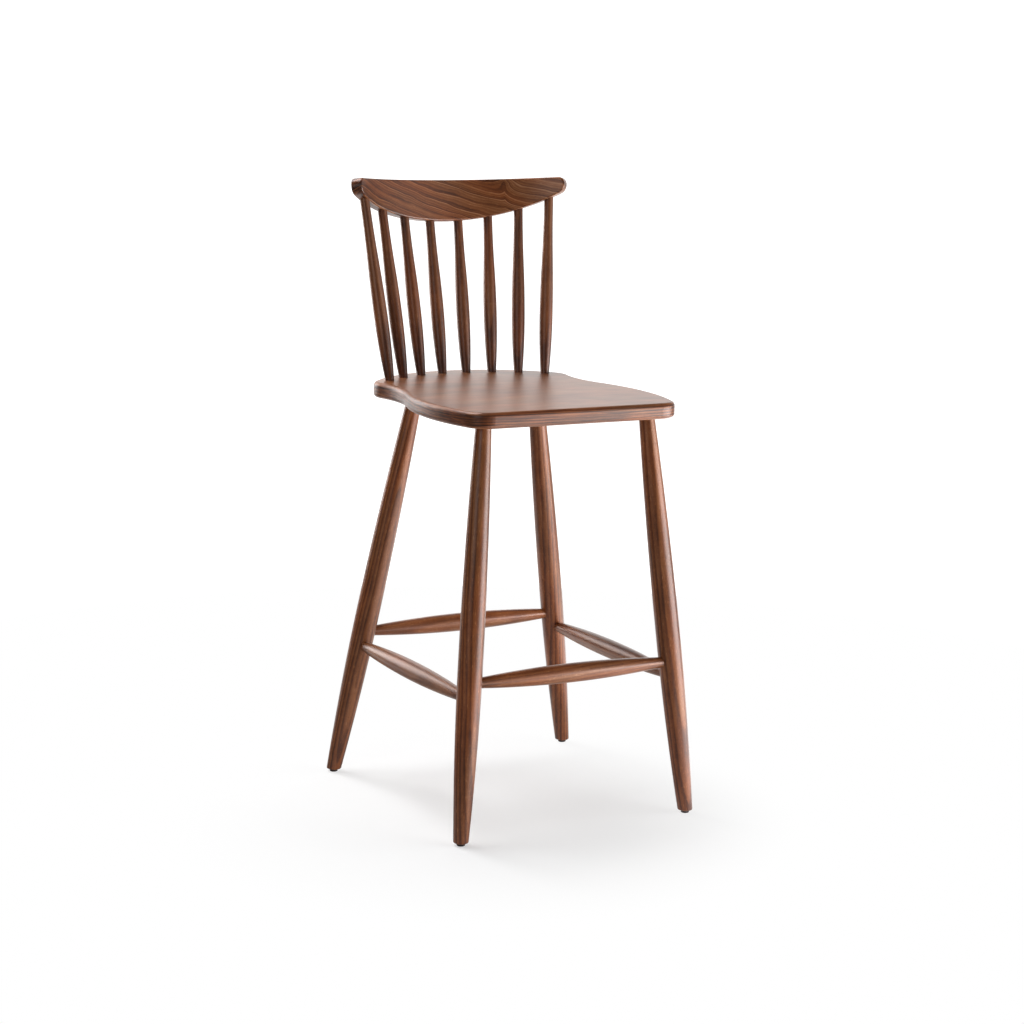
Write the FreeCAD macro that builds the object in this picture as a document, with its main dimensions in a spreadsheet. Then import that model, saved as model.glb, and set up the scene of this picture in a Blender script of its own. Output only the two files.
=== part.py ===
import FreeCAD, Part
import math
import os

import Sketcher

# A Windsor-style bar stool in turned and bent solid wood, with a spindle back and a footrest.
# Millimetres. +Z is up, the front of the stool faces -Y, and "left" is -X. The origin lies on the
# floor at the middle of the stool's box.

document = FreeCAD.newDocument("bar_stool")
sheet = document.addObject("Spreadsheet::Sheet", "dims")

DIMENSIONS = (
    # the seat board
    ("seat_height", 751.0),             # top of the seat above the floor
    ("seat_thickness", 28.5),
    ("seat_front", 263.0),              # straight front edge, measured forwards from the origin
    ("seat_half_width", 225.5),         # at its widest, ahead of the middle
    ("seat_widest_from_front", 146.5),
    ("seat_waist_half_width", 193.0),
    ("seat_corner_radius", 43.0),
    ("seat_side_radius", 400.0),
    ("seat_waist_radius", 205.0),
    ("seat_shoulder_radius", 48.0),     # the rounded rear corners
    ("seat_back_radius", 250.5),
    ("seat_depth", 522.0),
    ("seat_top_edge_radius", 8.0),
    ("seat_bottom_edge_radius", 7.0),
    # legs: where each axis meets the floor and the underside of the seat
    ("front_foot_half_width", 230.0),
    ("front_foot_forward", 288.5),
    ("front_socket_half_width", 164.0),
    ("front_socket_forward", 213.0),
    ("rear_foot_half_width", 250.5),
    ("rear_foot_back", 203.0),
    ("rear_socket_half_width", 127.0),
    ("rear_socket_back", 129.5),
    ("leg_foot_radius", 13.2),
    ("leg_belly_radius", 21.9),
    ("leg_belly_height", 325.0),        # along the axis
    ("leg_neck_radius", 14.0),
    ("leg_foot_rounding", 2.0),
    ("leg_shoulder_depth", 4.5),        # how far the full neck goes into the seat
    ("leg_tenon_radius", 11.0),
    ("leg_tenon_length", 14.0),
    # stretchers: height of each axis where it meets the axes of the legs
    ("front_stretcher_height", 279.0),
    ("side_stretcher_front_height", 253.0),
    ("side_stretcher_rear_height", 249.0),
    ("rear_stretcher_height", 274.5),
    ("stretcher_end_radius", 9.5),
    ("stretcher_belly_radius", 17.2),
    # back spindles: eight, evenly spaced round a circle on the seat
    ("spindle_circle_radius", 253.5),
    ("spindle_circle_forward", 32.5),   # its centre, ahead of the origin
    ("spindle_step_angle", 11.5),
    ("spindle_foot_radius", 8.3),
    ("spindle_belly_radius", 12.6),
    ("spindle_belly_height", 112.0),    # above the seat, along the axis
    ("spindle_neck_radius", 8.6),
    ("spindle_neck_length", 6.0),
    ("spindle_foot_land", 2.0),         # straight stretch just above the seat
    ("spindle_seat_shoulder_depth", 3.0),
    ("spindle_seat_tenon_radius", 6.0),
    ("spindle_seat_tenon_length", 15.0),
    ("spindle_crest_shoulder_depth", 5.0),
    ("spindle_crest_tenon_radius", 5.5),
    ("spindle_crest_tenon_length", 16.0),
    # crest rail: a flat board bent round an axis that leans back with the spindles
    ("crest_bend_radius", 312.0),       # of the middle of the board's thickness
    ("crest_lean_angle", 10.4),
    ("crest_back", 291.0),              # middle of the top edge, behind the origin
    ("crest_height", 1108.6),
    ("crest_thickness", 21.6),
    ("crest_half_length", 243.5),       # along the bend
    ("crest_crown", 5.0),               # how far the top edge falls towards its ends
    ("crest_middle_depth", 77.5),
    ("crest_end_depth", 31.0),
    ("crest_top_corner_radius", 12.0),
    ("crest_bottom_corner_radius", 19.0),
    ("crest_edge_radius", 3.0),
    ("crest_spindle_spacing", 59.7),    # along the bend
    # glides and the nails that hold them
    ("glide_radius", 7.5),
    ("glide_height", 5.5),
    ("glide_rounding", 1.5),
    ("glide_recess_radius", 3.6),
    ("glide_recess_depth", 2.6),
    ("nail_radius", 1.2),
    ("nail_length", 16.0),              # into the leg
    ("nail_head_radius", 3.0),
    ("nail_head_thickness", 1.1),
    # every glued or driven joint has this much room all round
    ("joint_gap", 0.05),
)

for row, (alias, value) in enumerate(DIMENSIONS, start=1):
    sheet.set("A%d" % row, alias)
    sheet.set("B%d" % row, str(value))
    sheet.setAlias("B%d" % row, alias)
document.recompute()

UP = FreeCAD.Vector(0, 0, 1)
ORIGIN = FreeCAD.Vector(0, 0, 0)


def size(alias):
    return float(sheet.get(alias))


def derived(alias, value):
    """Adds a length that follows from the driving dimensions to the end of the sheet."""
    row = derived.next_row
    sheet.set("A%d" % row, alias)
    sheet.set("B%d" % row, repr(value))
    sheet.setAlias("B%d" % row, alias)
    derived.next_row += 1
    document.recompute()


derived.next_row = len(DIMENSIONS) + 1


def along(start, end, distance):
    """The point at a distance from start, on the line towards end."""
    direction = (end - start).normalize()
    return start + direction * distance


def at_height(line, height):
    """The point of a line where it passes a height."""
    start, end = line
    return start + (end - start) * ((height - start.z) / (end.z - start.z))


def turn_to(start, end):
    """Puts a piece that stands on its own Z axis onto the line from start to end."""
    return FreeCAD.Placement(start, FreeCAD.Rotation(UP, end - start))


# ---------------------------------------------------------------- turned pieces

def arc_level_with(level, other):
    """A circle's arc between two (radius, height) points, upright where it passes level."""
    rise = other[1] - level[1]
    centre = (level[0] ** 2 - other[0] ** 2 - rise ** 2) / (2 * (level[0] - other[0]))
    circle = Part.Circle(FreeCAD.Vector(centre, level[1], 0), UP, abs(level[0] - centre))
    convex = centre < level[0]
    first, last = sorted((level, other), key=lambda point: point[1], reverse=not convex)
    angles = [math.atan2(point[1] - level[1], point[0] - centre) for point in (first, last)]
    if angles[1] < angles[0]:
        angles[1] += 2 * math.pi
    return Part.ArcOfCircle(circle, angles[0], angles[1])


def turned_piece(name, outline):
    """A lathe-turned solid round its own Z axis.

    outline runs up the outside of the half section. Each entry is (radius, height, edge), the
    first two as expressions of the sheet, and edge says how the entry is reached from the one
    before it: "line", or an arc that stands upright at its "lower" or "upper" end.
    """
    body = document.addObject("PartDesign::Body", name)
    sketch = body.newObject("Sketcher::SketchObject", name + "_half_section")
    plane = [item for item in body.Origin.OriginFeatures if item.Role == "XZ_Plane"]
    sketch.AttachmentSupport = [(plane[0], "")]
    sketch.MapMode = "FlatFace"
    corners = [("0", outline[0][1], "line")] + list(outline) + [("0", outline[-1][1], "line")]
    points = [(evaluate(radius), evaluate(height)) for radius, height, edge in corners]
    ends = []
    for index in range(1, len(corners)):
        before, after = points[index - 1], points[index]
        edge = corners[index][2]
        if edge == "line":
            piece = sketch.addGeometry(Part.LineSegment(
                FreeCAD.Vector(before[0], before[1], 0), FreeCAD.Vector(after[0], after[1], 0)))
            ends.append((piece, 1, 2))
            continue
        level, other = (before, after) if edge == "lower" else (after, before)
        arc = arc_level_with(level, other)
        piece = sketch.addGeometry(arc)
        rising = abs(arc.StartPoint.y - before[1]) < abs(arc.EndPoint.y - before[1])
        ends.append((piece, 1, 2) if rising else (piece, 2, 1))
        level_end = ends[-1][1] if edge == "lower" else ends[-1][2]
        sketch.addConstraint(Sketcher.Constraint("Horizontal", piece, 3, piece, level_end))
    closing = sketch.addGeometry(Part.LineSegment(
        FreeCAD.Vector(points[-1][0], points[-1][1], 0),
        FreeCAD.Vector(points[0][0], points[0][1], 0)))
    ends.append((closing, 1, 2))
    for index, (piece, first, last) in enumerate(ends):
        following = ends[(index + 1) % len(ends)]
        sketch.addConstraint(Sketcher.Constraint("Coincident", piece, last,
                                                 following[0], following[1]))
    for index, (radius, height, edge) in enumerate(corners):
        piece, first = ends[index][0], ends[index][1]
        if radius == "0":
            sketch.addConstraint(Sketcher.Constraint("PointOnObject", piece, first, -2))
        else:
            bind(sketch, "DistanceX", piece, first, points[index][0], radius)
        if height == "0":
            sketch.addConstraint(Sketcher.Constraint("PointOnObject", piece, first, -1))
        else:
            bind(sketch, "DistanceY", piece, first, points[index][1], height)
    turning = body.newObject("PartDesign::Revolution", name + "_turning")
    turning.Profile = sketch
    turning.ReferenceAxis = (sketch, ["V_Axis"])
    turning.Angle = 360.0
    return body


def evaluate(expression):
    return float(sheet.evalExpression(expression))


def bind(sketch, kind, piece, end, value, expression):
    """Measures a point of a sketch from the sketch's origin, by an expression of the sheet."""
    number = sketch.addConstraint(Sketcher.Constraint(kind, -1, 1, piece, end, value))
    sketch.setExpression("Constraints[%d]" % number, expression)


# ---------------------------------------------------------------- holes

def drill(name, start, end, radius):
    """A round cutter from start to end. radius is an expression of the sheet."""
    cutter = document.addObject("Part::Cylinder", name)
    cutter.setExpression("Radius", radius)
    cutter.Height = (end - start).Length
    cutter.Placement = turn_to(start, end)
    return cutter


def cut(label, base, cutters):
    """The finished sub-part: base with every cutter taken away."""
    tools = document.addObject("Part::MultiFuse", label + "_cutters")
    tools.Shapes = cutters
    finished = document.addObject("Part::Cut", label + "_cut")
    finished.Base = base
    finished.Tool = tools
    return finished


GAP = "dims.joint_gap"
OVERRUN = 30.0          # cutters start this far outside the wood


# ---------------------------------------------------------------- layout of the legs

seat_underside = size("seat_height") - size("seat_thickness")
SIDES = (("left", -1), ("right", 1))


def leg_line(end, side):
    """A leg's axis, from the floor to the underside of the seat."""
    way = {"front": -1, "rear": 1}[end]
    foot_run = {"front": "front_foot_forward", "rear": "rear_foot_back"}[end]
    socket_run = {"front": "front_socket_forward", "rear": "rear_socket_back"}[end]
    foot = FreeCAD.Vector(side * size(end + "_foot_half_width"), way * size(foot_run), 0)
    socket = FreeCAD.Vector(side * size(end + "_socket_half_width"), way * size(socket_run),
                            seat_underside)
    return foot, socket


legs = {}
for end in ("front", "rear"):
    for side_name, side in SIDES:
        legs[end, side_name] = leg_line(end, side)
    derived(end + "_leg_length", (legs[end, "left"][1] - legs[end, "left"][0]).Length)

# each stretcher runs between the axes of two legs
stretchers = {
    "front": (at_height(legs["front", "left"], size("front_stretcher_height")),
              at_height(legs["front", "right"], size("front_stretcher_height"))),
    "rear": (at_height(legs["rear", "left"], size("rear_stretcher_height")),
             at_height(legs["rear", "right"], size("rear_stretcher_height"))),
}
for side_name, side in SIDES:
    stretchers[side_name] = (
        at_height(legs["front", side_name], size("side_stretcher_front_height")),
        at_height(legs["rear", side_name], size("side_stretcher_rear_height")))
derived("front_stretcher_length", (stretchers["front"][1] - stretchers["front"][0]).Length)
derived("rear_stretcher_length", (stretchers["rear"][1] - stretchers["rear"][0]).Length)
derived("side_stretcher_length", (stretchers["left"][1] - stretchers["left"][0]).Length)

# ---------------------------------------------------------------- layout of the back

crest_placement = FreeCAD.Placement(
    FreeCAD.Vector(0, size("crest_back"), size("crest_height")),
    FreeCAD.Rotation(FreeCAD.Vector(1, 0, 0), -size("crest_lean_angle")))


def on_crest(run, height, outwards):
    """A point of the bent board, in the board's own frame.

    run goes along the bend from the middle, height up the board from its top edge, and
    outwards from the middle of its thickness to the back.
    """
    bend = size("crest_bend_radius")
    angle = run / bend
    radius = bend + outwards
    return FreeCAD.Vector(radius * math.sin(angle), radius * math.cos(angle) - bend, height)


def crest_bottom(run):
    """Height of the board's lower edge, an arc from end to end."""
    half = size("crest_half_length")
    sagitta = size("crest_middle_depth") - size("crest_end_depth")
    radius = (half ** 2 + sagitta ** 2) / (2 * sagitta)
    return -size("crest_middle_depth") + radius - math.sqrt(radius ** 2 - run ** 2)


SPINDLE_PAIRS = ("inner", "second", "third", "outer")


def spindle_line(pair, side):
    """A spindle's axis, from the top of the seat to the lower edge of the crest rail."""
    steps = side * (SPINDLE_PAIRS.index(pair) + 0.5)
    angle = math.radians(steps * size("spindle_step_angle"))
    circle = size("spindle_circle_radius")
    foot = FreeCAD.Vector(circle * math.sin(angle),
                          circle * math.cos(angle) - size("spindle_circle_forward"),
                          size("seat_height"))
    run = steps * size("crest_spindle_spacing")
    return foot, crest_placement.multVec(on_crest(run, crest_bottom(run), 0))


spindles = {}
for pair in SPINDLE_PAIRS:
    for side_name, side in SIDES:
        spindles[pair, side_name] = spindle_line(pair, side)
    foot, top = spindles[pair, "left"]
    derived(pair + "_spindle_length", (top - foot).Length)

SPINDLE_ORDER = (
    [(pair, "left") for pair in reversed(SPINDLE_PAIRS)]
    + [(pair, "right") for pair in SPINDLE_PAIRS])

# ---------------------------------------------------------------- seat


def meet(first, first_reach, second, second_reach, rearmost):
    """Where two circles cross, given their centres and radii: the rearmost crossing or the other."""
    gap = second - first
    reach = (first_reach ** 2 - second_reach ** 2 + gap.Length ** 2) / (2 * gap.Length)
    offset = math.sqrt(first_reach ** 2 - reach ** 2)
    direction = FreeCAD.Vector(gap).normalize()
    across = FreeCAD.Vector(-direction.y, direction.x, 0)
    crossings = [first + direction * reach + across * sign * offset for sign in (-1, 1)]
    crossings.sort(key=lambda point: point.y)
    return crossings[1] if rearmost else crossings[0]


def seat_outline():
    """Centres and radii of the arcs down the right side of the seat, from front to back."""
    front = -size("seat_front")
    corner, side = size("seat_corner_radius"), size("seat_side_radius")
    waist, shoulder = size("seat_waist_radius"), size("seat_shoulder_radius")
    back = size("seat_back_radius")
    side_centre = FreeCAD.Vector(size("seat_half_width") - side,
                                 front + size("seat_widest_from_front"), 0)
    drop = side_centre.y - (front + corner)
    corner_centre = FreeCAD.Vector(
        side_centre.x + math.sqrt((side - corner) ** 2 - drop ** 2), front + corner, 0)
    waist_x = size("seat_waist_half_width") + waist
    rise = math.sqrt((side + waist) ** 2 - (waist_x - side_centre.x) ** 2)
    waist_centre = FreeCAD.Vector(waist_x, side_centre.y + rise, 0)
    back_centre = FreeCAD.Vector(0, front + size("seat_depth") - back, 0)
    shoulder_centre = meet(waist_centre, waist + shoulder, back_centre, back - shoulder, True)
    return ((corner_centre, corner), (side_centre, side), (waist_centre, waist),
            (shoulder_centre, shoulder), (back_centre, back))


def arc_between(centre, radius, start, end):
    """The arc that runs counter-clockwise from start to end."""
    angles = [math.atan2(point.y - centre.y, point.x - centre.x) for point in (start, end)]
    if angles[1] < angles[0]:
        angles[1] += 2 * math.pi
    return Part.ArcOfCircle(Part.Circle(centre, UP, radius), angles[0], angles[1])


def flipped(point):
    return FreeCAD.Vector(-point.x, point.y, point.z)


def seat_board():
    """The seat before drilling: a thick board with a waist, rounded over top and bottom."""
    body = document.addObject("PartDesign::Body", "seat_board")
    sketch = body.newObject("Sketcher::SketchObject", "seat_outline")
    plane = [item for item in body.Origin.OriginFeatures if item.Role == "XY_Plane"]
    sketch.AttachmentSupport = [(plane[0], "")]
    sketch.MapMode = "FlatFace"
    (corner_at, corner), (side_at, side), (waist_at, waist), (shoulder_at, shoulder), \
        (back_at, back) = seat_outline()
    front_end = FreeCAD.Vector(corner_at.x, corner_at.y - corner, 0)
    corner_end = along(side_at, corner_at, side)
    side_end = along(side_at, waist_at, side)
    waist_end = along(waist_at, shoulder_at, waist)
    back_end = along(back_at, shoulder_at, back)
    # counter-clockwise from the left end of the front edge
    geometry = [
        Part.LineSegment(flipped(front_end), front_end),
        arc_between(corner_at, corner, front_end, corner_end),
        arc_between(side_at, side, corner_end, side_end),
        arc_between(waist_at, waist, waist_end, side_end),
        arc_between(shoulder_at, shoulder, waist_end, back_end),
        arc_between(back_at, back, back_end, flipped(back_end)),
        arc_between(flipped(shoulder_at), shoulder, flipped(back_end), flipped(waist_end)),
        arc_between(flipped(waist_at), waist, flipped(side_end), flipped(waist_end)),
        arc_between(flipped(side_at), side, flipped(side_end), flipped(corner_end)),
        arc_between(flipped(corner_at), corner, flipped(corner_end), flipped(front_end)),
    ]
    front, corner_r, side_r, waist_r, shoulder_r, back_arc, shoulder_l, waist_l, side_l, \
        corner_l = [sketch.addGeometry(piece) for piece in geometry]
    joints = ((front, 2, corner_r, 1), (corner_r, 2, side_r, 1), (side_r, 2, waist_r, 2),
              (waist_r, 1, shoulder_r, 1), (shoulder_r, 2, back_arc, 1),
              (back_arc, 2, shoulder_l, 1), (shoulder_l, 2, waist_l, 2), (waist_l, 1, side_l, 1),
              (side_l, 2, corner_l, 1), (corner_l, 2, front, 1))
    for first, first_end, second, second_end in joints:
        sketch.addConstraint(
            Sketcher.Constraint("Tangent", first, first_end, second, second_end))
    for right, left, alias, value in ((corner_r, corner_l, "seat_corner_radius", corner),
                                      (side_r, side_l, "seat_side_radius", side),
                                      (waist_r, waist_l, "seat_waist_radius", waist),
                                      (shoulder_r, shoulder_l, "seat_shoulder_radius", shoulder)):
        sketch.addConstraint(Sketcher.Constraint("Equal", right, left))
        number = sketch.addConstraint(Sketcher.Constraint("Radius", right, value))
        sketch.setExpression("Constraints[%d]" % number, "dims." + alias)
    number = sketch.addConstraint(Sketcher.Constraint("Radius", back_arc, back))
    sketch.setExpression("Constraints[%d]" % number, "dims.seat_back_radius")
    sketch.addConstraint(Sketcher.Constraint("Horizontal", front))
    sketch.addConstraint(Sketcher.Constraint("Symmetric", side_r, 3, side_l, 3, -2))
    sketch.addConstraint(Sketcher.Constraint("PointOnObject", back_arc, 3, -2))
    measured = (
        ("DistanceY", front, 1, -1, 1, "dims.seat_front"),
        ("DistanceY", front, 1, side_r, 3, "dims.seat_widest_from_front"),
        ("DistanceX", side_r, 3, side_l, 3, "2 * (dims.seat_side_radius - dims.seat_half_width)"),
        ("DistanceX", -1, 1, waist_r, 3, "dims.seat_waist_half_width + dims.seat_waist_radius"),
        ("DistanceX", waist_l, 3, -1, 1, "dims.seat_waist_half_width + dims.seat_waist_radius"),
        ("DistanceY", front, 1, back_arc, 3, "dims.seat_depth - dims.seat_back_radius"),
    )
    for kind, first, first_end, second, second_end, expression in measured:
        number = sketch.addConstraint(Sketcher.Constraint(
            kind, first, first_end, second, second_end, evaluate(expression)))
        sketch.setExpression("Constraints[%d]" % number, expression)
    pad = body.newObject("PartDesign::Pad", "seat_pad")
    pad.Profile = sketch
    pad.setExpression("Length", "dims.seat_thickness")
    rounded = pad
    for face, height in (("top", size("seat_thickness")), ("bottom", 0.0)):
        document.recompute()
        rim = ["Edge%d" % number for number, edge in enumerate(rounded.Shape.Edges, start=1)
               if all(abs(vertex.Z - height) < size("joint_gap") for vertex in edge.Vertexes)]
        fillet = body.newObject("PartDesign::Fillet", "seat_%s_rounding" % face)
        fillet.Base = (rounded, rim)
        fillet.setExpression("Radius", "dims.seat_%s_edge_radius" % face)
        rounded = fillet
    body.Placement = FreeCAD.Placement(FreeCAD.Vector(0, 0, seat_underside), FreeCAD.Rotation())
    return body


def make_seat():
    """The seat with a stepped blind socket for each leg and each spindle."""
    cutters = []
    for (end, side_name), (foot, socket) in legs.items():
        name = "seat_%s_%s_leg" % (end, side_name)
        outside = along(socket, foot, OVERRUN)
        shoulder = along(socket, foot, -size("leg_shoulder_depth"))
        bottom = along(shoulder, foot, -size("leg_tenon_length") - 1.0)
        cutters.append(drill(name + "_socket", outside, shoulder,
                             "dims.leg_neck_radius + " + GAP))
        cutters.append(drill(name + "_mortise", outside, bottom,
                             "dims.leg_tenon_radius + " + GAP))
    for number, key in enumerate(SPINDLE_ORDER, start=1):
        name = "seat_spindle_%d" % number
        foot, top = spindles[key]
        outside = along(foot, top, OVERRUN)
        shoulder = along(foot, top, -size("spindle_seat_shoulder_depth"))
        bottom = along(shoulder, top, -size("spindle_seat_tenon_length") - 1.0)
        cutters.append(drill(name + "_socket", outside, shoulder,
                             "dims.spindle_foot_radius + " + GAP))
        cutters.append(drill(name + "_mortise", outside, bottom,
                             "dims.spindle_seat_tenon_radius + " + GAP))
    return cut("seat", seat_board(), cutters)


# ---------------------------------------------------------------- legs

def make_leg(end, side_name):
    """A turned leg, cut level at the floor, with its tenon and the mortises for the stretchers."""
    label = "leg_%s_%s" % (end, side_name)
    foot, socket = legs[end, side_name]
    length = "dims.%s_leg_length" % end
    shoulder = length + " + dims.leg_shoulder_depth"
    tip = shoulder + " + dims.leg_tenon_length"
    blank = turned_piece(label + "_blank", (
        ("dims.leg_foot_radius", "0", "line"),
        ("dims.leg_belly_radius", "dims.leg_belly_height", "upper"),
        ("dims.leg_neck_radius", length, "lower"),
        ("dims.leg_neck_radius", shoulder, "line"),
        ("dims.leg_tenon_radius", shoulder, "line"),
        ("dims.leg_tenon_radius", tip, "line")))
    blank.Placement = turn_to(foot, socket)
    floor_cut = document.addObject("Part::Box", label + "_floor_cut")
    floor_cut.Length = floor_cut.Width = 4 * OVERRUN
    floor_cut.Height = OVERRUN
    sole = at_height((foot, socket), size("glide_height"))
    floor_cut.Placement = FreeCAD.Placement(
        sole - FreeCAD.Vector(2 * OVERRUN, 2 * OVERRUN, OVERRUN), FreeCAD.Rotation())
    cutters = [floor_cut, drill(label + "_nail_hole", sole - UP,
                                sole + UP * (size("nail_length") + 1.0),
                                "dims.nail_radius + " + GAP)]
    for name in (end, side_name):
        first, last = stretchers[name]
        here, there = (first, last) if first.distanceToPoint(foot) < last.distanceToPoint(foot) \
            else (last, first)
        cutters.append(drill("%s_%s_mortise" % (label, name), along(here, there, -1.0),
                             along(here, there, 2 * OVERRUN),
                             "dims.stretcher_end_radius + " + GAP))
    trimmed = cut(label, blank, cutters)
    document.recompute()
    rim = [number for number, edge in enumerate(trimmed.Shape.Edges, start=1)
           if edge.BoundBox.ZMax < sole.z + size("joint_gap")
           and edge.Length > math.pi * size("leg_foot_radius")]
    rounded = document.addObject("Part::Fillet", label + "_rounded")
    rounded.Base = trimmed
    rounding = size("leg_foot_rounding")
    rounded.Edges = [(number, rounding, rounding) for number in rim]
    return rounded


# ---------------------------------------------------------------- stretchers

def make_stretcher(name):
    """A cigar-shaped turned rail whose two ends are its tenons."""
    start, end = stretchers[name]
    length = "dims.%s_stretcher_length" % {"left": "side", "right": "side"}.get(name, name)
    body = turned_piece("stretcher_" + name + "_turned", (
        ("dims.stretcher_end_radius", "0", "line"),
        ("dims.stretcher_end_radius", "dims.leg_belly_radius", "line"),
        ("dims.stretcher_belly_radius", length + " / 2", "upper"),
        ("dims.stretcher_end_radius", length + " - dims.leg_belly_radius", "lower"),
        ("dims.stretcher_end_radius", length, "line")))
    body.Placement = turn_to(start, end)
    return body


# ---------------------------------------------------------------- spindles

def make_spindle(number, key):
    """A slim turned spindle, fullest low down, with a tenon and a shoulder at each end."""
    foot, top = spindles[key]
    shoulder = "dims.spindle_seat_tenon_length"
    base = shoulder + " + dims.spindle_seat_shoulder_depth"
    belly = base + " + dims.spindle_belly_height"
    crest = base + " + dims.%s_spindle_length" % key[0]
    neck = crest + " - dims.spindle_neck_length"
    upper_shoulder = crest + " + dims.spindle_crest_shoulder_depth"
    body = turned_piece("spindle_%d_turned" % number, (
        ("dims.spindle_seat_tenon_radius", "0", "line"),
        ("dims.spindle_seat_tenon_radius", shoulder, "line"),
        ("dims.spindle_foot_radius", shoulder, "line"),
        ("dims.spindle_foot_radius", base + " + dims.spindle_foot_land", "line"),
        ("dims.spindle_belly_radius", belly, "upper"),
        ("(dims.spindle_belly_radius + dims.spindle_neck_radius) / 2",
         "(%s + %s) / 2" % (belly, neck), "lower"),
        ("dims.spindle_neck_radius", neck, "upper"),
        ("dims.spindle_neck_radius", upper_shoulder, "line"),
        ("dims.spindle_crest_tenon_radius", upper_shoulder, "line"),
        ("dims.spindle_crest_tenon_radius",
         upper_shoulder + " + dims.spindle_crest_tenon_length", "line")))
    root = size("spindle_seat_tenon_length") + size("spindle_seat_shoulder_depth")
    body.Placement = turn_to(along(foot, top, -root), top)
    return body


# ---------------------------------------------------------------- crest rail

def flat_crest_outline():
    """The board's outline before bending, as a wire in the XY plane: X along it, Y up it."""
    half = size("crest_half_length")
    top_left = FreeCAD.Vector(-half, -size("crest_crown"), 0)
    bottom_left = FreeCAD.Vector(-half, -size("crest_end_depth"), 0)
    top_right, bottom_right = flipped(top_left), flipped(bottom_left)
    middle_bottom = FreeCAD.Vector(0, -size("crest_middle_depth"), 0)
    outline = Part.Wire([
        Part.Arc(top_left, ORIGIN, top_right).toShape(),
        Part.LineSegment(top_right, bottom_right).toShape(),
        Part.Arc(bottom_right, middle_bottom, bottom_left).toShape(),
        Part.LineSegment(bottom_left, top_left).toShape()])
    slab = Part.Face(outline).extrude(UP * size("crest_thickness"))
    for corner, radius in ((top_left, size("crest_top_corner_radius")),
                           (bottom_left, size("crest_bottom_corner_radius")),
                           (top_right, size("crest_top_corner_radius")),
                           (bottom_right, size("crest_bottom_corner_radius"))):
        upright = [edge for edge in slab.Edges
                   if edge.BoundBox.ZLength > size("crest_thickness") / 2
                   and edge.Vertexes[0].Point.distanceToLine(corner, UP) < size("joint_gap")]
        slab = slab.makeFillet(radius, upright)
    floor = min(slab.Faces, key=lambda face: face.CenterOfMass.z)
    return floor.OuterWire


def bent_loop(wire, outwards, count):
    """The flat outline wrapped round the bend, on the surface that lies outwards of the middle."""
    flat = wire.discretize(Number=count + 1)[:-1]
    curve = Part.BSplineCurve()
    curve.interpolate([on_crest(point.x, point.y, outwards) for point in flat],
                      PeriodicFlag=True)
    return Part.Wire(curve.toShape())


def bent_board():
    """The crest rail before drilling, in its own frame, with all its edges eased."""
    bend = size("crest_bend_radius")
    half_thickness = size("crest_thickness") / 2
    tall = 2 * size("crest_middle_depth")
    axis_foot = FreeCAD.Vector(0, -bend, -0.75 * tall)
    ring = Part.makeCylinder(bend + half_thickness, tall, axis_foot, UP).cut(
        Part.makeCylinder(bend - half_thickness, tall, axis_foot, UP))
    outline = flat_crest_outline()
    samples = 160
    fence = Part.makeRuledSurface(bent_loop(outline, -2 * half_thickness, samples),
                                  bent_loop(outline, 2 * half_thickness, samples))
    pieces = ring.generalFuse([fence])[0].Solids
    board = min(pieces, key=lambda piece: piece.Volume)
    rims = [edge for edge in board.Edges if edge.Length > size("crest_half_length")]
    return board.makeFillet(size("crest_edge_radius"), rims)


def make_crest():
    """The crest rail with a stepped blind socket for the top of each spindle."""
    board = document.addObject("Part::Feature", "crest_board")
    board.Shape = bent_board()
    board.Placement = crest_placement
    cutters = []
    for number, key in enumerate(SPINDLE_ORDER, start=1):
        name = "crest_spindle_%d" % number
        foot, top = spindles[key]
        outside = along(top, foot, OVERRUN)
        shoulder = along(top, foot, -size("spindle_crest_shoulder_depth"))
        bottom = along(shoulder, foot, -size("spindle_crest_tenon_length") - 1.0)
        cutters.append(drill(name + "_socket", outside, shoulder,
                             "dims.spindle_neck_radius + " + GAP))
        cutters.append(drill(name + "_mortise", outside, bottom,
                             "dims.spindle_crest_tenon_radius + " + GAP))
    return cut("crest_rail", board, cutters)


# ---------------------------------------------------------------- glides

def make_glide(end, side_name):
    """A plastic glide under a leg: a round button with a recess for its nail's head."""
    label = "glide_%s_%s" % (end, side_name)
    disc = turned_piece(label + "_disc", (
        ("dims.glide_radius - dims.glide_rounding", "0", "line"),
        ("dims.glide_radius", "dims.glide_rounding", "upper"),
        ("dims.glide_radius", "dims.glide_height", "line")))
    sole = at_height(legs[end, side_name], size("glide_height"))
    floor = FreeCAD.Vector(sole.x, sole.y, 0)
    disc.Placement = turn_to(floor, sole)
    recess = drill(label + "_recess", floor - UP, floor + UP * size("glide_recess_depth"),
                   "dims.glide_recess_radius")
    bore = drill(label + "_bore", floor - UP, sole + UP, "dims.nail_radius + " + GAP)
    return cut(label, disc, [recess, bore])


def make_nail(end, side_name):
    """The steel nail that is driven through a glide into the end grain of a leg."""
    label = "nail_%s_%s" % (end, side_name)
    shank = "dims.nail_head_thickness + dims.glide_height - dims.glide_recess_depth" \
            " + dims.nail_length"
    body = turned_piece(label + "_turned", (
        ("dims.nail_head_radius", "0", "line"),
        ("dims.nail_head_radius", "dims.nail_head_thickness", "line"),
        ("dims.nail_radius", "dims.nail_head_thickness", "line"),
        ("dims.nail_radius", shank + " - 2 * dims.nail_radius", "line"),
        ("dims.nail_radius / 4", shank, "line")))
    sole = at_height(legs[end, side_name], size("glide_height"))
    head = FreeCAD.Vector(sole.x, sole.y,
                          size("glide_recess_depth") - size("nail_head_thickness"))
    body.Placement = turn_to(head, sole)
    return body


# ---------------------------------------------------------------- assembly

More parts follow.
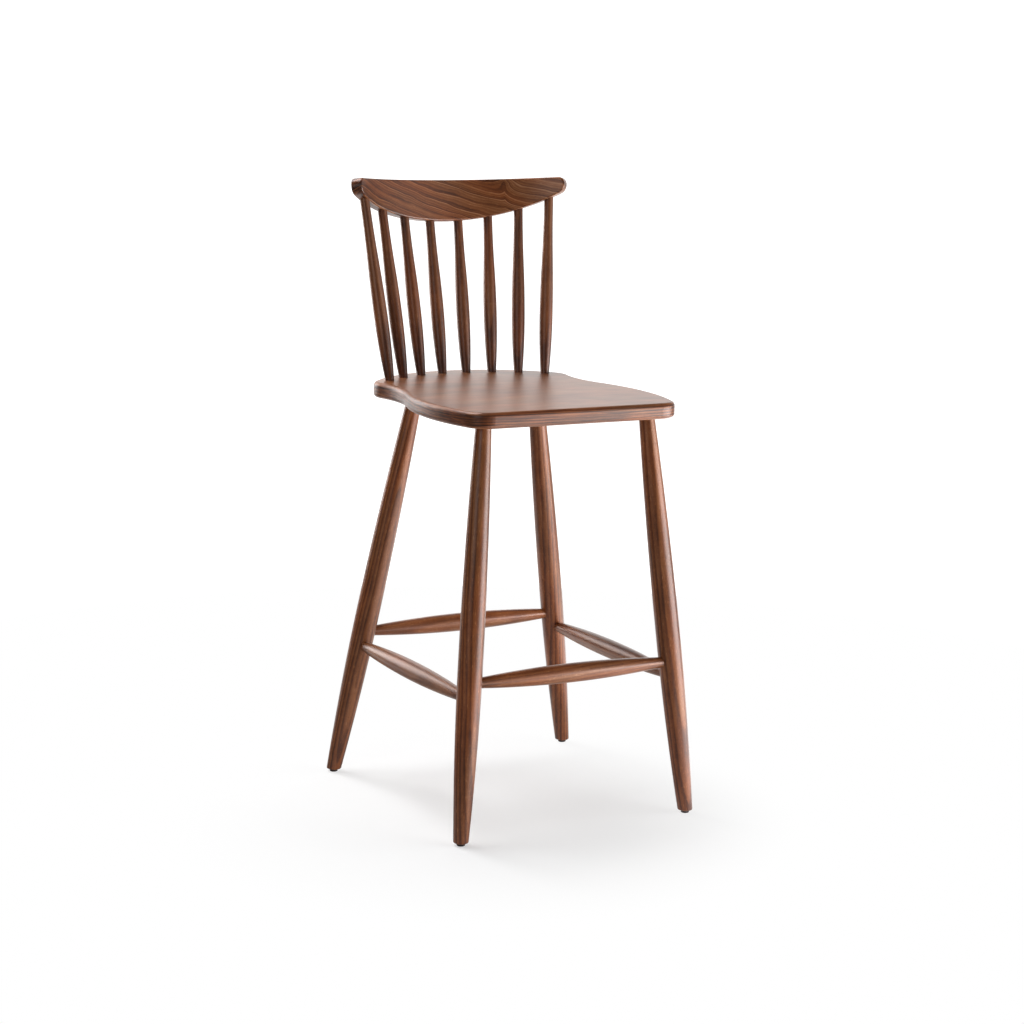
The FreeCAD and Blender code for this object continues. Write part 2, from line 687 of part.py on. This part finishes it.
parts = {"seat": make_seat(), "crest_rail": make_crest()}
for end, side_name in legs:
    parts["leg_%s_%s" % (end, side_name)] = make_leg(end, side_name)
    parts["glide_%s_%s" % (end, side_name)] = make_glide(end, side_name)
    parts["nail_%s_%s" % (end, side_name)] = make_nail(end, side_name)
for name in stretchers:
    parts["stretcher_" + name] = make_stretcher(name)
for number, key in enumerate(SPINDLE_ORDER, start=1):
    parts["spindle_%d" % number] = make_spindle(number, key)
for label, part in parts.items():
    part.Label = label
document.recompute()

failed = [item.Name for item in document.Objects if {"Invalid", "Error"} & set(item.State)]
if failed:
    raise RuntimeError("these objects did not build: " + ", ".join(failed))
for label, part in parts.items():
    if part.Shape.isNull() or not part.Shape.isValid() or len(part.Shape.Solids) != 1:
        raise RuntimeError(label + " is not one valid solid")

os.makedirs("parts", exist_ok=True)
box = FreeCAD.BoundBox()
for label, part in parts.items():
    part.Shape.exportStep(os.path.join("parts", label + ".step"))
    box.add(part.Shape.optimalBoundingBox(True, False))
    print("%-20s %8.1f cm3" % (label, part.Shape.Volume / 1000))
print("box", [round(value, 2) for value in (box.XMin, box.YMin, box.ZMin,
                                            box.XMax, box.YMax, box.ZMax)])
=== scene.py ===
"""Looks of the bar stool with footrest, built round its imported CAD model.

Metres, +Z up, the front of the stool at -Y. Wood figure is worked out in millimetres along each piece's
own grain.
"""
import math
import random

import bmesh
import bpy
import numpy as np
from mathutils import Euler, Matrix, Vector


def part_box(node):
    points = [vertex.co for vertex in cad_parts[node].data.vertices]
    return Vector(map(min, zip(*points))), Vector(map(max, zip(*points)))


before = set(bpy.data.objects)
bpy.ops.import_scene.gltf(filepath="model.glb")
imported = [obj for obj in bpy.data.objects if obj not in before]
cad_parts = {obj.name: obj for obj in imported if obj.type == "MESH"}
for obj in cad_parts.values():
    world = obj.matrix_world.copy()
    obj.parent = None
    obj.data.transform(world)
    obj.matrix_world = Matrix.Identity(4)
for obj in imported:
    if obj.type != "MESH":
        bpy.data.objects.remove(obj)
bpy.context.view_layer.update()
scene = bpy.context.scene
scene.view_settings.view_transform = "Standard"

MILLIMETRE = 0.001

# ------------------------------------------------------------------ camera

CAMERA_PLACE = Vector((-2.0992, -3.8664, 1.3659))
CAMERA_YAW = math.radians(28.64)        # turned right of +Y
CAMERA_PITCH = math.radians(-10.87)
CAMERA_ROLL = math.radians(1.44)
CAMERA_LENS = 85.62
SENSOR = 36.0

TOWARDS_CAMERA = Vector((-math.sin(CAMERA_YAW), -math.cos(CAMERA_YAW), 0))
CAMERA_RIGHT = Vector((math.cos(CAMERA_YAW), -math.sin(CAMERA_YAW), 0))


def make_camera():
    forward = -TOWARDS_CAMERA * math.cos(CAMERA_PITCH) + Vector((0, 0, math.sin(CAMERA_PITCH)))
    up = CAMERA_RIGHT.cross(forward)
    right = CAMERA_RIGHT * math.cos(CAMERA_ROLL) + up * math.sin(CAMERA_ROLL)
    up = right.cross(forward)
    turn = Matrix((right, up, -forward)).transposed().to_4x4()
    camera = bpy.data.objects.new("camera", bpy.data.cameras.new("camera"))
    camera.data.sensor_width = SENSOR
    camera.data.lens = CAMERA_LENS
    camera.data.clip_start = 0.1
    camera.data.clip_end = 100.0
    camera.matrix_world = Matrix.Translation(CAMERA_PLACE) @ turn
    scene.collection.objects.link(camera)
    scene.camera = camera


make_camera()

# ------------------------------------------------------------------ node graphs


class Graph:
    """Adds nodes to one shader tree, with a short call for each kind."""

    def __init__(self, tree):
        self.tree = tree
        tree.nodes.clear()

    def node(self, kind, inputs, **settings):
        made = self.tree.nodes.new("ShaderNode" + kind)
        for name, value in settings.items():
            setattr(made, name, value)
        for name, value in inputs.items():
            self.feed(made.inputs[name], value)
        return made

    def feed(self, socket, value):
        if isinstance(value, bpy.types.NodeSocket):
            self.tree.links.new(value, socket)
        else:
            socket.default_value = value

    def maths(self, operation, *values):
        return self.node("Math", dict(enumerate(values)), operation=operation).outputs[0]

    def vector(self, operation, *values):
        made = self.node("VectorMath", dict(enumerate(values)), operation=operation)
        return made.outputs["Value" if operation in ("LENGTH", "DISTANCE", "DOT_PRODUCT") else "Vector"]

    def parts_of(self, vector):
        return self.node("SeparateXYZ", {0: vector}).outputs

    def joined(self, x, y, z):
        return self.node("CombineXYZ", {0: x, 1: y, 2: z}).outputs[0]

    def stretched(self, vector, across, along):
        """Coordinates in which a noise cell is `across` mm wide and `along` mm long with the grain."""
        return self.vector("MULTIPLY", vector, (1 / across, 1 / across, 1 / along))

    def noise(self, vector, detail=2.0, roughness=0.5, distortion=0.0, colour=False):
        made = self.node("TexNoise", {"Vector": vector, "Scale": 1.0, "Detail": detail,
                                      "Roughness": roughness, "Distortion": distortion})
        return made.outputs["Color" if colour else "Fac"]

    def remap(self, value, low, high, new_low=0.0, new_high=1.0, smooth=True):
        kind = "SMOOTHSTEP" if smooth else "LINEAR"
        made = self.node("MapRange", {"Value": value, "From Min": low, "From Max": high,
                                      "To Min": new_low, "To Max": new_high}, interpolation_type=kind)
        return made.outputs["Result"]

    def ramp(self, value, stops):
        made = self.node("ValToRGB", {0: value})
        elements = made.color_ramp.elements
        while len(elements) < len(stops):
            elements.new(1.0)
        for element, (place, colour) in zip(elements, stops):
            element.position = place
            element.color = (*colour, 1.0)
        return made.outputs["Color"]

    def mix(self, factor, first, second, kind="MIX"):
        made = self.node("Mix", {0: factor, 6: first, 7: second}, data_type="RGBA", blend_type=kind)
        return made.outputs[2]


def rgb(*colour):
    return (*colour, 1.0)


def new_material(name):
    material = bpy.data.materials.new(name)
    material.use_nodes = True
    return material, Graph(material.node_tree)


def finish_surface(graph, shader):
    graph.node("OutputMaterial", {"Surface": shader})


# ------------------------------------------------------------------ stained, lacquered hardwood

# Stain colours, from the darkest tone, 0, to the palest, 1.
WOOD_STOPS = ((0.10, (0.036, 0.0105, 0.0048)),
              (0.34, (0.100, 0.0295, 0.0100)),
              (0.52, (0.200, 0.0655, 0.0205)),
              (0.72, (0.310, 0.1190, 0.0440)),
              (0.92, (0.450, 0.2150, 0.1100)))

# Contrasts, as shares of the whole range of tones. gloss is the weight of the lacquer, coat its roughness.
WOOD = {"bands": 0.15, "fibre": 0.28, "blotch": 0.44, "fleck": 0.20, "lathe": 0.0,
        "rough": 0.46, "sheen": 0.20, "gloss": 1.0, "coat": 0.34}
WARMER = rgb(1.10, 0.94, 0.80)          # multiplies the stain where it is warmer

# Cells of each pattern, in mm across and along the grain.
FIBRE = (1.1, 60)
HAIR = (0.45, 14)
DARK_FLECK = (0.9, 5.5)
PALE_FLECK = (1.2, 9.0)
BLOTCH = (17, 60)
HUE = (40, 160)
LATHE_CELL = (50, 50, 1 / 0.55)         # x, y and z: marks that run round the piece

# Levels of the noise at which a fleck begins and is full.
DARK_FLECK_AT = (0.64, 0.74)
PALE_FLECK_AT = (0.36, 0.27)

# Heights of the patterns in the surface, where the fibre's is 1.
HAIR_HEIGHT = 0.5
DARK_FLECK_HEIGHT = -0.8
LATHE_HEIGHT = 0.5

BANDS_MIDDLE = 0.42                     # the level of growth_bands that leaves the tone as it is
HAIR_SHARE = 0.45                       # contrast of the hair lines, as a share of the fibre's
GRAIN_DEPTH = 0.12 * MILLIMETRE
PATTERN_REACH = 900                     # mm, how far a piece's start in the patterns can lie


def piece_space(graph, centre, turn):
    """Object coordinates in mm, measured from centre along the axes of turn."""
    place = graph.node("TexCoord", {}).outputs["Object"]
    return graph.node("Mapping", {"Vector": place, "Location": centre, "Rotation": turn,
                                  "Scale": (MILLIMETRE,) * 3}, vector_type="TEXTURE").outputs["Vector"]


def growth_bands(graph, distance, spacing):
    """0 to 1 through each growth ring: a quick return to pale early wood, then a slow darkening."""
    saw = graph.maths("FRACT", graph.maths("DIVIDE", distance, spacing))
    rise = graph.remap(saw, 0.0, 0.16)
    fall = graph.remap(saw, 0.30, 1.0, 1.0, 0.0)
    return graph.maths("MULTIPLY", rise, fall)


def wood_material(name, space, figure, chance, shade, **changes):
    """Wood of one piece. space gives its coordinates in mm, z with the grain; figure gives its growth rings
    and shade how much darker it is in places, including painted light on the crest and painted shade on the
    seat's edge."""
    look = {**WOOD, **changes}
    material, graph = new_material(name)
    grain = space(graph)
    start = tuple(chance.uniform(-PATTERN_REACH, PATTERN_REACH) for _ in range(3))
    moved = graph.vector("ADD", grain, start)
    rings = figure(graph, grain, moved)

    fibre = graph.noise(graph.stretched(moved, *FIBRE), detail=3.0, roughness=0.6)
    hair = graph.noise(graph.stretched(moved, *HAIR), roughness=0.6)
    dark_fleck = graph.remap(graph.noise(graph.stretched(moved, *DARK_FLECK), detail=1.0), *DARK_FLECK_AT)
    pale_fleck = graph.remap(graph.noise(graph.stretched(moved, *PALE_FLECK), detail=1.0), *PALE_FLECK_AT)
    blotch = graph.noise(graph.stretched(moved, *BLOTCH), detail=3.0, roughness=0.6)

    # shade darkens the tone in places; on the crest and the seat's edge it holds painted light and painted
    # shade.
    tone = graph.maths("SUBTRACT", look["tone"], shade(graph, grain))
    height = graph.maths("MULTIPLY_ADD", dark_fleck, DARK_FLECK_HEIGHT, fibre)
    height = graph.maths("MULTIPLY_ADD", hair, HAIR_HEIGHT, height)
    for pattern, middle, contrast in ((rings, BANDS_MIDDLE, look["bands"]),
                                      (fibre, 0.5, look["fibre"]),
                                      (hair, 0.5, look["fibre"] * HAIR_SHARE),
                                      (blotch, 0.5, look["blotch"]),
                                      (dark_fleck, 0.0, -look["fleck"]),
                                      (pale_fleck, 0.0, look["fleck"])):
        tone = graph.maths("MULTIPLY_ADD", graph.maths("SUBTRACT", pattern, middle), contrast, tone)
    if look["lathe"]:
        marks = graph.noise(graph.vector("DIVIDE", moved, LATHE_CELL))
        tone = graph.maths("MULTIPLY_ADD", graph.maths("SUBTRACT", marks, 0.5), look["lathe"], tone)
        height = graph.maths("MULTIPLY_ADD", marks, LATHE_HEIGHT, height)

    colour = graph.ramp(tone, WOOD_STOPS)
    hue = graph.noise(graph.stretched(moved, *HUE), detail=1.0, distortion=0.4)
    warmer = graph.mix(1.0, colour, WARMER, "MULTIPLY")
    colour = graph.mix(graph.remap(hue, 0.35, 0.65), colour, warmer)

    bump = graph.node("Bump", {"Height": height, "Strength": 0.35, "Distance": GRAIN_DEPTH})
    rough = graph.remap(fibre, 0.25, 0.75, look["rough"] - 0.06, look["rough"] + 0.08, smooth=False)
    shader = graph.node("BsdfPrincipled", {
        "Base Color": colour, "Roughness": rough, "Metallic": look["sheen"], "Normal": bump.outputs[0],
        "Specular IOR Level": 0.1, "Coat Weight": look["gloss"], "Coat Roughness": look["coat"],
        "Coat IOR": 1.5})
    finish_surface(graph, shader.outputs[0])
    return material


def wear(name, material):
    """Gives a CAD node its material, through its own slots."""
    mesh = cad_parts[name].data
    mesh.materials.clear()
    mesh.materials.append(material)


# ------------------------------------------------------------------ turned pieces

RING_SPACING = 6.5                      # mm
RING_WANDER = 9.0                       # mm from one side to the other
PITH_AWAY = (24, 48)                    # mm from the middle of the piece, at the least and at the most
PITH_LEAN = 0.045                       # at the most


def long_axis(name):
    """Centre, direction (pointing up or right) and half length in mm of a turned piece."""
    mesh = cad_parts[name].data
    places = np.empty(len(mesh.vertices) * 3)
    mesh.vertices.foreach_get("co", places)
    places = places.reshape(-1, 3)
    spread = places - places.mean(axis=0)
    axis = np.linalg.svd(spread.T @ spread)[0][:, 0]
    if axis @ np.array((0.1, 0.2, 1.0)) < 0:
        axis = -axis
    reach = np.ptp(places @ axis) / MILLIMETRE / 2
    return Vector((places.min(axis=0) + places.max(axis=0)) / 2), Vector(axis), reach


def pith_rings(chance):
    """Growth rings round a pith that lies beside the piece and leans a little from its axis."""
    side = chance.uniform(0, 2 * math.pi)
    away = chance.uniform(*PITH_AWAY)
    lean = chance.uniform(-PITH_LEAN, PITH_LEAN)

    def bands(graph, grain, moved):
        wander = graph.noise(graph.stretched(moved, 30, 240), colour=True)
        wander = graph.vector("MULTIPLY_ADD", wander, (RING_WANDER, RING_WANDER, 0),
                              (-RING_WANDER / 2, -RING_WANDER / 2, 0))
        x, y, z = graph.parts_of(graph.vector("ADD", grain, wander))
        x = graph.maths("ADD", x, away * math.cos(side))
        y = graph.maths("MULTIPLY_ADD", z, lean, graph.maths("ADD", y, away * math.sin(side)))
        distance = graph.vector("LENGTH", graph.joined(x, y, 0.0))
        return growth_bands(graph, distance, RING_SPACING)

    return bands


def make_turned(name, chance, low_end, high_end, run, **changes):
    """low_end and high_end say how much darker the ends are, and run how far that reaches, in mm."""
    centre, axis, reach = long_axis(name)
    turn = axis.to_track_quat("Z", "Y").to_euler()

    def space(graph):
        return piece_space(graph, centre, turn)

    def shade(graph, grain):
        along = graph.parts_of(grain)[2]
        low = graph.remap(along, run - reach, -reach, 0.0, low_end)
        high = graph.remap(along, reach - run, reach, 0.0, high_end)
        return graph.maths("ADD", low, high)

    wood = wood_material(name + "_wood", space, pith_rings(chance), chance, shade, lathe=0.10, **changes)
    wear(name, wood)


# ------------------------------------------------------------------ crest rail

CREST_BEND = 312.0                      # mm, radius of the bent board's middle surface
CREST_LEAN = math.radians(10.4)
CREST_TOP = Vector((0, 0.291, 1.1086))  # middle of the top edge
CREST_HALF = 243.5                      # mm, half the board's length along the bend
CREST_SLOPE = 0.29                      # fall of the grain towards the right end
CREST_THROUGH = 0.5                     # how fast the layers fall through the thickness
CREST_RING = 15.5                       # mm between broad bands
CREST_FINE_RING = 4.6                   # mm between the narrow bands inside them
CREST_FINE_SHARE = 0.34                 # contrast of the narrow bands beside the broad ones
CREST_WANDER = 22.0                     # mm by which the layers rise and fall
CREST_UNEVEN = 16.0                     # mm by which the bands differ in width
CREST_UNEVEN_CELL = 26.0                # mm
CREST_PAINTED_LIGHT = 0.0005                    # tones per mm paler towards the right end: painted light
END_GRAIN = 7.0                         # mm, how far the dark end grain reaches
END_GRAIN_DARKER = 0.14
KNOT_ALONG = 124.0                      # mm from the middle, towards the right end
KNOT_BELOW = 10.0                       # mm under the top edge
KNOT_LIFT = 23.0                        # mm by which the layers rise round the knot
KNOT_REACH = (13.0, 26.0)               # mm along and across the board, in which that fades
KNOT_STAIN_AT = (22.0, 6.0)             # mm to the left of the knot and above it: middle of the dark stain
KNOT_STAIN = (38.0, 13.0)               # mm along and across, size of the stain
KNOT_STAIN_DARKER = 0.16


def make_crest(chance):
    """A board with a sloping figure that kinks at a knot. It is bent, so its grain runs along the arc."""
    lean = Euler((-CREST_LEAN, 0, 0))
    arc_centre = CREST_TOP - lean.to_matrix() @ Vector((0, CREST_BEND * MILLIMETRE, 0))

    def space(graph):
        x, y, z = graph.parts_of(piece_space(graph, arc_centre, lean))
        along = graph.maths("MULTIPLY", graph.maths("ARCTAN2", x, y), CREST_BEND)
        depth = graph.maths("SUBTRACT", graph.vector("LENGTH", graph.joined(x, y, 0.0)), CREST_BEND)
        return graph.joined(depth, graph.maths("MULTIPLY_ADD", along, CREST_SLOPE, z), along)

    def level(graph, sloped, along):
        return graph.maths("MULTIPLY_ADD", along, -CREST_SLOPE, sloped)

    def bands(graph, grain, moved):
        depth, sloped, along = graph.parts_of(grain)
        wander = graph.noise(graph.vector("DIVIDE", moved, (60, 38, 95)), roughness=0.45)
        aside = graph.maths("ABSOLUTE", graph.maths("SUBTRACT", along, KNOT_ALONG))
        below = graph.maths("ABSOLUTE", graph.maths("ADD", level(graph, sloped, along), KNOT_BELOW))
        fading = graph.maths("ADD", graph.maths("DIVIDE", aside, KNOT_REACH[0]),
                             graph.maths("DIVIDE", below, KNOT_REACH[1]))
        kink = graph.maths("EXPONENT", graph.maths("MULTIPLY", fading, -1.0))
        layer = graph.maths("MULTIPLY_ADD", depth, CREST_THROUGH, sloped)
        layer = graph.maths("MULTIPLY_ADD", wander, CREST_WANDER, layer)
        layer = graph.maths("MULTIPLY_ADD", kink, -KNOT_LIFT, layer)
        uneven = graph.noise(graph.joined(graph.maths("DIVIDE", layer, CREST_UNEVEN_CELL), 3.0, 0.0))
        layer = graph.maths("MULTIPLY_ADD", uneven, CREST_UNEVEN, layer)

        # Each broad band is pale at first, then dark at once, and grows slowly pale again.
        saw = graph.maths("FRACT", graph.maths("DIVIDE", layer, CREST_RING))
        pale = graph.remap(saw, 0.0, 0.10, 0.5, 1.0)
        dark = graph.remap(saw, 0.12, 0.22, 0.0, 1.0)
        recover = graph.remap(saw, 0.22, 0.80, 0.0, 0.5)
        broad = graph.maths("ADD", graph.maths("SUBTRACT", pale, dark), recover)

        # The broad bands are bolder in some places than in others, and boldest at the knot.
        strength = graph.noise(graph.vector("MULTIPLY", moved, (0, 1 / 45, 1 / 70)), detail=1.0)
        strength = graph.maths("MULTIPLY_ADD", kink, 0.8, graph.remap(strength, 0.3, 0.7, 0.35, 1.1))
        broad = graph.maths("SUBTRACT", broad, BANDS_MIDDLE)
        broad = graph.maths("MULTIPLY_ADD", broad, strength, BANDS_MIDDLE)
        narrow = growth_bands(graph, layer, CREST_FINE_RING)
        narrow = graph.maths("SUBTRACT", narrow, BANDS_MIDDLE)
        return graph.maths("MULTIPLY_ADD", narrow, CREST_FINE_SHARE, broad)

    def shade(graph, grain):
        _, sloped, along = graph.parts_of(grain)
        from_middle = graph.maths("ABSOLUTE", along)
        end_grain = graph.remap(from_middle, CREST_HALF - END_GRAIN, CREST_HALF, 0.0, END_GRAIN_DARKER)
        aside = graph.maths("SUBTRACT", along, KNOT_ALONG - KNOT_STAIN_AT[0])
        below = graph.maths("ADD", level(graph, sloped, along), KNOT_BELOW - KNOT_STAIN_AT[1])
        away = graph.vector("LENGTH", graph.joined(graph.maths("DIVIDE", aside, KNOT_STAIN[0]),
                                                   graph.maths("DIVIDE", below, KNOT_STAIN[1]), 0.0))
        darker = graph.maths("ADD", end_grain, graph.remap(away, 1.3, 0.1, 0.0, KNOT_STAIN_DARKER))
        # Painted light: the board grows paler towards its right end.
        return graph.maths("MULTIPLY_ADD", along, -CREST_PAINTED_LIGHT, darker)

    wear("crest_rail", wood_material("crest_rail_wood", space, bands, chance, shade,
                                     bands=0.50, fibre=0.34, blotch=0.26, fleck=0.16, tone=0.545,
                                     coat=0.32))


# ------------------------------------------------------------------ seat

SEAT_LAYER = 5.2                        # mm
SEAT_WANDER = 14.0                      # mm by which the layers rise and fall
SEAT_LINE_CELL = (90, 1.9, 130)         # mm across, upwards and along
SEAT_LINE_SHARE = 0.65                  # the rest of the figure is the layers
# Darker round the edge: painted shade, and at the sides also stain soaked deeper into the end grain.
SEAT_EDGE_SHADE_AND_STAIN = 0.29


def make_seat(chance):
    """Layers lie flat through the board, so its edge shows fine lines and its top a broad figure."""
    low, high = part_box("seat")
    centre = (Vector(low) + Vector(high)) / 2

    def space(graph):
        x, y, z = graph.parts_of(piece_space(graph, centre, (0, 0, 0)))
        return graph.joined(y, z, x)

    def on_edge(graph, flat, edge):
        """One value on the flat top and underside, and another round the edge."""
        upright = graph.parts_of(graph.node("NewGeometry", {}).outputs["Normal"])[2]
        return graph.remap(graph.maths("ABSOLUTE", upright), 0.4, 0.95, edge, flat)

    def bands(graph, grain, moved):
        level = graph.parts_of(grain)[1]    # mm up through the board
        wander = graph.noise(graph.vector("MULTIPLY", moved, (1 / 70, 0, 1 / 260)))
        layers = growth_bands(graph, graph.maths("MULTIPLY_ADD", wander, SEAT_WANDER, level), SEAT_LAYER)
        lines = graph.noise(graph.vector("DIVIDE", moved, SEAT_LINE_CELL), roughness=0.65)
        lines = graph.remap(lines, 0.36, 0.64)
        rings = graph.maths("MULTIPLY_ADD", lines, SEAT_LINE_SHARE,
                            graph.maths("MULTIPLY", layers, 1 - SEAT_LINE_SHARE))
        stronger = on_edge(graph, 0.35, 1.0)
        rings = graph.maths("SUBTRACT", rings, BANDS_MIDDLE)
        return graph.maths("MULTIPLY_ADD", rings, stronger, BANDS_MIDDLE)

    def shade(graph, grain):
        # Painted shade round the edge, with stain soaked into the end grain at the sides.
        return on_edge(graph, 0.0, SEAT_EDGE_SHADE_AND_STAIN)

    wear("seat", wood_material("seat_wood", space, bands, chance, shade, bands=0.55, fibre=0.20,
                               fleck=0.08, tone=0.65, coat=0.38))


# ------------------------------------------------------------------ glides and nails


def make_fittings():
    plastic, graph = new_material("glide_plastic")
    place = piece_space(graph, (0, 0, 0), (0, 0, 0))
    mottle = graph.noise(graph.stretched(place, 2.5, 2.5), detail=3.0)
    pits = graph.noise(graph.stretched(place, 0.35, 0.35))
    scuffs = graph.noise(graph.stretched(place, 5.0, 0.4))
    colour = graph.mix(mottle, rgb(0.018, 0.010, 0.008), rgb(0.040, 0.024, 0.018))
    bump = graph.node("Bump", {"Height": pits, "Strength": 0.4, "Distance": 0.1 * MILLIMETRE})
    shader = graph.node("BsdfPrincipled", {
        "Base Color": colour, "Roughness": graph.remap(scuffs, 0.3, 0.7, 0.45, 0.70),
        "Normal": bump.outputs[0]})
    finish_surface(graph, shader.outputs[0])

    steel, graph = new_material("nail_steel")
    place = piece_space(graph, (0, 0, 0), (0, 0, 0))
    drawn = graph.noise(graph.stretched(place, 0.3, 6.0))
    dull = graph.noise(graph.stretched(place, 3.0, 3.0))
    colour = graph.mix(dull, rgb(0.36, 0.36, 0.37), rgb(0.56, 0.56, 0.55))
    shader = graph.node("BsdfPrincipled", {
        "Base Color": colour, "Metallic": 1.0, "Roughness": graph.remap(drawn, 0.3, 0.7, 0.25, 0.45)})
    finish_surface(graph, shader.outputs[0])

    for row in ("front", "rear"):
        for side in ("left", "right"):
            wear(f"glide_{row}_{side}", plastic)
            wear(f"nail_{row}_{side}", steel)


chance = random.Random(11)
for row in ("front", "rear"):
    for side in ("left", "right"):
        make_turned(f"leg_{row}_{side}", chance, low_end=0.06, high_end=-0.08, run=280, bands=0.22,
                    fleck=0.24, tone=0.47, gloss=0.85)
for place in ("front", "rear", "left", "right"):
    make_turned(f"stretcher_{place}", chance, low_end=0.08, high_end=0.08, run=90, tone=0.56)
for number in range(1, 9):
    make_turned(f"spindle_{number}", chance, low_end=0.20, high_end=0.05, run=170, tone=0.51, coat=0.40)
make_crest(chance)
make_seat(chance)
make_fittings()

# ------------------------------------------------------------------ stage and light

# The floor takes shadows in full near SHADE_CENTRE, up to SHADE_FULL away, and none beyond SHADE_GONE.
FLOOR_REACH = 1.7
SHADE_CENTRE = (-0.12, -0.12, 0.0)
SHADE_FULL = 0.12
SHADE_GONE = 0.60
PAPER = rgb(0.62, 0.625, 0.63)
PAPER_GLOW = 0.42                       # the paper's own light where it takes shadows
WHITE = 1.0                             # and where it takes none

# Light of the floor in reflections: on the camera's side of the stool, behind it and to its right.
GLOSS_DIM = 0.04
GLOSS_BEHIND = 1.0
GLOSS_BESIDE = 2.8
GLOSS_NEAR = 0.5                        # share of it that is left where the floor takes shadows

# Light of the room, from the same three sides.
ROOM_DIM = 0.03
ROOM_BEHIND = 1.35
ROOM_BESIDE = 0.5

AIM = Vector((0, 0, 0.6))               # what the lamps point at


def make_floor():
    """White paper under the stool, which fades into the white room and is unevenly lit in reflections."""
    shape = bmesh.new()
    bmesh.ops.create_circle(shape, cap_ends=True, segments=96, radius=FLOOR_REACH)
    mesh = bpy.data.meshes.new("floor")
    shape.to_mesh(mesh)
    shape.free()
    floor = bpy.data.objects.new("floor", mesh)
    scene.collection.objects.link(floor)
    material, graph = new_material("floor_paper")
    place = graph.node("TexCoord", {}).outputs["Object"]
    distance = graph.vector("DISTANCE", place, SHADE_CENTRE)
    fade = graph.remap(distance, SHADE_FULL, SHADE_GONE)
    mirrored = graph.node("LightPath", {}).outputs["Is Glossy Ray"]
    behind = graph.vector("DOT_PRODUCT", place, -TOWARDS_CAMERA)
    beside = graph.vector("DOT_PRODUCT", place, CAMERA_RIGHT)
    mirror_light = graph.maths("MAXIMUM", graph.remap(behind, 0.0, 0.6, GLOSS_DIM, GLOSS_BEHIND),
                               graph.remap(beside, 0.10, 0.7, GLOSS_DIM, GLOSS_BESIDE))

    def glowing(plain, reflected):
        """Light of one strength as seen or as it falls on things, and of another in reflections."""
        change = graph.maths("SUBTRACT", reflected, plain)
        strength = graph.maths("MULTIPLY_ADD", change, mirrored, plain)
        return graph.node("Emission", {"Color": rgb(1, 1, 1), "Strength": strength}).outputs[0]

    paper = graph.node("BsdfDiffuse", {"Color": PAPER})
    glow = glowing(PAPER_GLOW, graph.maths("MULTIPLY", mirror_light, GLOSS_NEAR))
    lit = graph.node("AddShader", {0: paper.outputs[0], 1: glow})
    surface = graph.node("MixShader", {0: fade, 1: lit.outputs[0], 2: glowing(WHITE, mirror_light)})
    finish_surface(graph, surface.outputs[0])
    mesh.materials.append(material)


def softbox(name, turned, lift, distance, width, tall, radiance):
    """A soft rectangular lamp that points at the stool. It stands turned degrees to the right of the line
    from the stool to the camera, and lift degrees up."""
    turned = math.radians(turned)
    lift = math.radians(lift)
    level = TOWARDS_CAMERA * math.cos(turned) + CAMERA_RIGHT * math.sin(turned)
    outward = level * math.cos(lift) + Vector((0, 0, math.sin(lift)))
    lamp = bpy.data.lights.new(name, "AREA")
    lamp.shape = "RECTANGLE"
    lamp.size = width
    lamp.size_y = tall
    lamp.energy = radiance * math.pi * width * tall
    box = bpy.data.objects.new(name, lamp)
    box.matrix_world = (Matrix.Translation(AIM + outward * distance)
                        @ outward.to_track_quat("Z", "Y").to_matrix().to_4x4())
    box.visible_camera = False
    scene.collection.objects.link(box)


def make_world():
    """A room that looks white, and lights the stool from behind and from the right."""
    world = bpy.data.worlds.new("studio")
    world.use_nodes = True
    scene.world = world
    graph = Graph(world.node_tree)
    direction = graph.node("TexCoord", {}).outputs["Generated"]
    behind = graph.vector("DOT_PRODUCT", direction, -TOWARDS_CAMERA)
    beside = graph.vector("DOT_PRODUCT", direction, CAMERA_RIGHT)
    strength = graph.maths("MAXIMUM", graph.remap(behind, 0.72, 0.93, ROOM_DIM, ROOM_BEHIND),
                           graph.remap(beside, 0.55, 0.98, ROOM_DIM, ROOM_BESIDE))
    seen = graph.node("LightPath", {}).outputs["Is Camera Ray"]
    strength = graph.maths("MAXIMUM", strength, seen)
    light = graph.node("Background", {"Color": rgb(1, 1, 1), "Strength": strength})
    graph.node("OutputWorld", {"Surface": light.outputs[0]})


make_floor()
make_world()
softbox("key", turned=-129, lift=15, distance=3.0, width=1.1, tall=2.2, radiance=4.8)
softbox("top", turned=-112, lift=64, distance=2.5, width=1.6, tall=1.4, radiance=7.2)
softbox("side", turned=79, lift=-5.5, distance=2.4, width=2.0, tall=0.85, radiance=9.8)
softbox("fill", turned=-28, lift=14, distance=3.2, width=1.5, tall=1.2, radiance=2.0)
